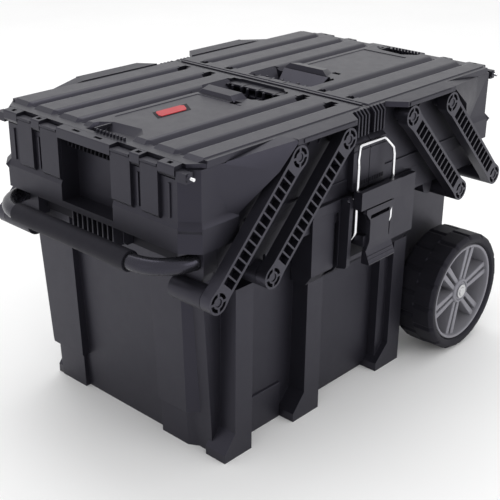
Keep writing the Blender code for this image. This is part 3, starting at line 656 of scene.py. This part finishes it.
# ---------------------------------------------------------------- the wheels
def tyre_mesh():
    """Tyre with flat tread blocks, staggered between its two halves."""
    (y0, y1), R, r = TYRE_Y, WHEEL_R, 0.0732
    mid = (y0 + y1) / 2
    prof = [(r, y0 + 0.0040), (r + 0.0025, y0 + 0.0010), (r + 0.0060, y0), (R - 0.0065, y0),
            (R - 0.0025, y0 + 0.0016), (R, y0 + 0.0050), (R, y0 + 0.0180), (R, mid - 0.0006),
            (R, mid + 0.0006), (R, y1 - 0.0180), (R, y1 - 0.0050), (R - 0.0025, y1 - 0.0016),
            (R - 0.0065, y1), (r + 0.0060, y1), (r + 0.0025, y1 - 0.0010), (r, y1 - 0.0040)]
    n = LUGS * 12

    def bump(i, k, q):
        if not 4 <= k <= 11:
            return q
        j = (i if k <= 7 else i + 6) % 12
        a = math.pi / LUGS
        t = (j - 6) / 6 * a
        flat = math.cos(a) / math.cos(t)
        groove = 0.0026 if j in (0, 11) else 0.0
        return q * (0.15 + 0.85 * flat) - groove
    return lathe(prof, n, bump)


def rim_mesh():
    """Dished rim shell, and its hub with six double spokes."""
    y0, back = TYRE_Y[0] + 0.0028, TYRE_Y[1] - 0.0035
    shell = lathe([(0.0729, y0 + 0.0030), (0.0718, y0 + 0.0004), (0.0702, y0),
                   (0.0684, y0 + 0.0008), (0.0672, y0 + 0.0040), (0.0650, y0 + 0.0300),
                   (0.0150, y0 + 0.0330), (0.0150, y0 + 0.0360), (0.0655, y0 + 0.0360),
                   (0.0680, back), (0.0718, back), (0.0729, back - 0.0020)], 96)
    hub = lathe([(0.0064, y0 + 0.0045), (0.0128, y0 + 0.0045), (0.0150, y0 + 0.0060),
                 (0.0168, y0 + 0.0110), (0.0176, back), (0.0064, back)], 48)
    ring = lathe([(0.0140, y0 + 0.0052), (0.0152, y0 + 0.0038), (0.0170, y0 + 0.0038),
                  (0.0186, y0 + 0.0056), (0.0186, y0 + 0.0150), (0.0140, y0 + 0.0150)], 48)
    spokes = []
    for i in range(SPOKES):
        a = math.radians(360 / SPOKES * i + 14)
        for off in (-1, 1):
            d = Vector((math.cos(a), math.sin(a)))
            s = Vector((-d.y, d.x))
            c = Vector(WHEEL)

            def at(u, w, y):
                p = c + d * u + s * (off * (0.0047 + 0.0020 * u / 0.066) + w)
                return (p.x, y, p.y)
            pts = []
            for u, w, yf in ((0.0130, 0.0031, y0 + 0.0062), (0.0350, 0.0034, y0 + 0.0062),
                             (0.0674, 0.0042, y0 + 0.0052)):
                pts += [at(u, -w, yf + 0.0008), at(u, w, yf + 0.0008),
                        at(u, -w + 0.0012, yf), at(u, w - 0.0012, yf),
                        at(u, -w - 0.0008, y0 + 0.0335), at(u, w + 0.0008, y0 + 0.0335)]
            spokes.append(hull(pts))
    return shell, together([hub, ring] + spokes)


for side, k in SIDES:
    body = side + "_wheel"
    tyre, shell, spokes = (on_side(o, k) for o in (tyre_mesh(), *rim_mesh()))
    piece(tyre, side + "_tyre_tread", body, TYRE, 0.0004, 1, slot="tyre",
          stands_for=[side + "_tyre"], planar=False, angle=28)
    piece(shell, side + "_rim_shell", body, GREY, 0.0004, 2, slot="rim_plastic",
          stands_for=[side + "_wheel_rim"], planar=False, angle=40)
    piece(spokes, side + "_rim_spokes", body, GREY, 0.0006, 2, slot="rim_plastic")


# ---------------------------------------------------------------- CAD pieces kept
KEPT = {"bin_shell": (BODY, 0.0016), "axle": (STEEL, 0.0004),
        "handle_tube": (TUBE, 0.0004), "handle_grip": (GRIP, 0.0014)}
for c in CORNERS:
    KEPT[c + "_corner_bracket"] = (BODY, 0.0010)
    for p in ("outer", "inner"):
        KEPT[f"{c}_{p}_arm"] = (ARM, 0.0006)
        KEPT[f"{c}_{p}_low_pin"] = (ARM, 0.0005)
        KEPT[f"{c}_{p}_top_pin"] = (ARM, 0.0005)
for e, _ in ENDS:
    KEPT[e + "_tray"] = (BODY, 0.0014)
    KEPT[e + "_end_beam"] = (BODY, 0.0006)
    KEPT[e + "_hinge_rod"] = (CHROME, 0.0004)
for f, _ in SIDES:
    KEPT[f + "_rail"] = (BODY, 0.0010)
    KEPT[f + "_latch_base"] = (BODY, 0.0010)
    KEPT[f + "_bail_bridge"] = (LATCH, 0.0008)
    KEPT[f + "_lever_pin"] = (CHROME, 0.0003)
    KEPT[f + "_latch_bail"] = (CHROME, 0.0)
    KEPT[f + "_hub_cap"] = (STEEL, 0.0006)
    KEPT[f + "_tube_plug"] = (LATCH, 0.0005)
for n, (mat, width) in KEPT.items():
    dress(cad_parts[n], mat, width, 2, planar=n != "handle_tube")


# ---------------------------------------------------------------- stage
def stage():
    """Pale floor, white surroundings and three soft lights."""
    me = bpy.data.meshes.new("floor")
    s = 6.0                                # half size
    me.from_pydata([(-s, -s, 0), (s, -s, 0), (s, s, 0), (-s, s, 0)], [], [(0, 1, 2, 3)])
    floor = link(me, "floor")
    m, nt, p = nodes_of("floor_paper")
    co = nt.nodes.new("ShaderNodeTexCoord").outputs["Object"]
    n = noise(nt, co, 3.0, 3.0)
    nt.links.new(ramp(nt, n, [(0.3, 0.93), (0.7, 0.95)]), p.inputs["Base Color"])
    p.inputs["Roughness"].default_value = 0.9
    p.inputs["Specular IOR Level"].default_value = 0.1
    me.materials.append(m)
    w = bpy.data.worlds.new("studio")
    w.use_nodes = True
    w.node_tree.nodes["Background"].inputs["Color"].default_value = (1, 1, 1, 1)
    w.node_tree.nodes["Background"].inputs["Strength"].default_value = 0.95
    bpy.context.scene.world = w

    def area(name, at, look, size, power):
        d = bpy.data.lights.new(name, "AREA")
        d.shape = "RECTANGLE"
        d.size, d.size_y = size
        d.energy = power
        o = bpy.data.objects.new(name, d)
        o.location = at
        o.rotation_euler = (Vector(look) - Vector(at)).to_track_quat("-Z", "Y").to_euler()
        bpy.context.scene.collection.objects.link(o)
    area("top", (0.3, 0.6, 2.2), (0, 0, 0.3), (1.6, 1.6), 16)
    area("front", (0.6, -2.4, 1.0), (0, 0, 0.2), (1.6, 1.2), 12)
    area("side", (-2.6, -0.3, 0.9), (0, 0, 0.2), (1.2, 1.2), 1)


def camera():
    """Long lens, seen from above the front left corner."""
    az, el, roll = math.radians(-47.16), math.radians(23.98), math.radians(0.46)
    back = Vector((math.sin(az) * math.cos(el), -math.cos(az) * math.cos(el), math.sin(el)))
    right = (-back).cross(Vector((0, 0, 1))).normalized()
    up = right.cross(-back)
    r = right * math.cos(roll) + up * math.sin(roll)
    u = up * math.cos(roll) - right * math.sin(roll)
    cam = bpy.data.cameras.new("camera")
    cam.lens, cam.sensor_width = 74.6, 36.0
    cam.shift_x = 0.0122
    ob = bpy.data.objects.new("camera", cam)
    m = Matrix((r, u, back)).transposed().to_4x4()
    m.translation = Vector((-1.0056, -0.8984, 0.7596))
    ob.matrix_world = m
    bpy.context.scene.collection.objects.link(ob)
    bpy.context.scene.camera = ob


stage()
camera()
bpy.context.scene.view_settings.view_transform = "Standard"

bpy.context.view_layer.update()
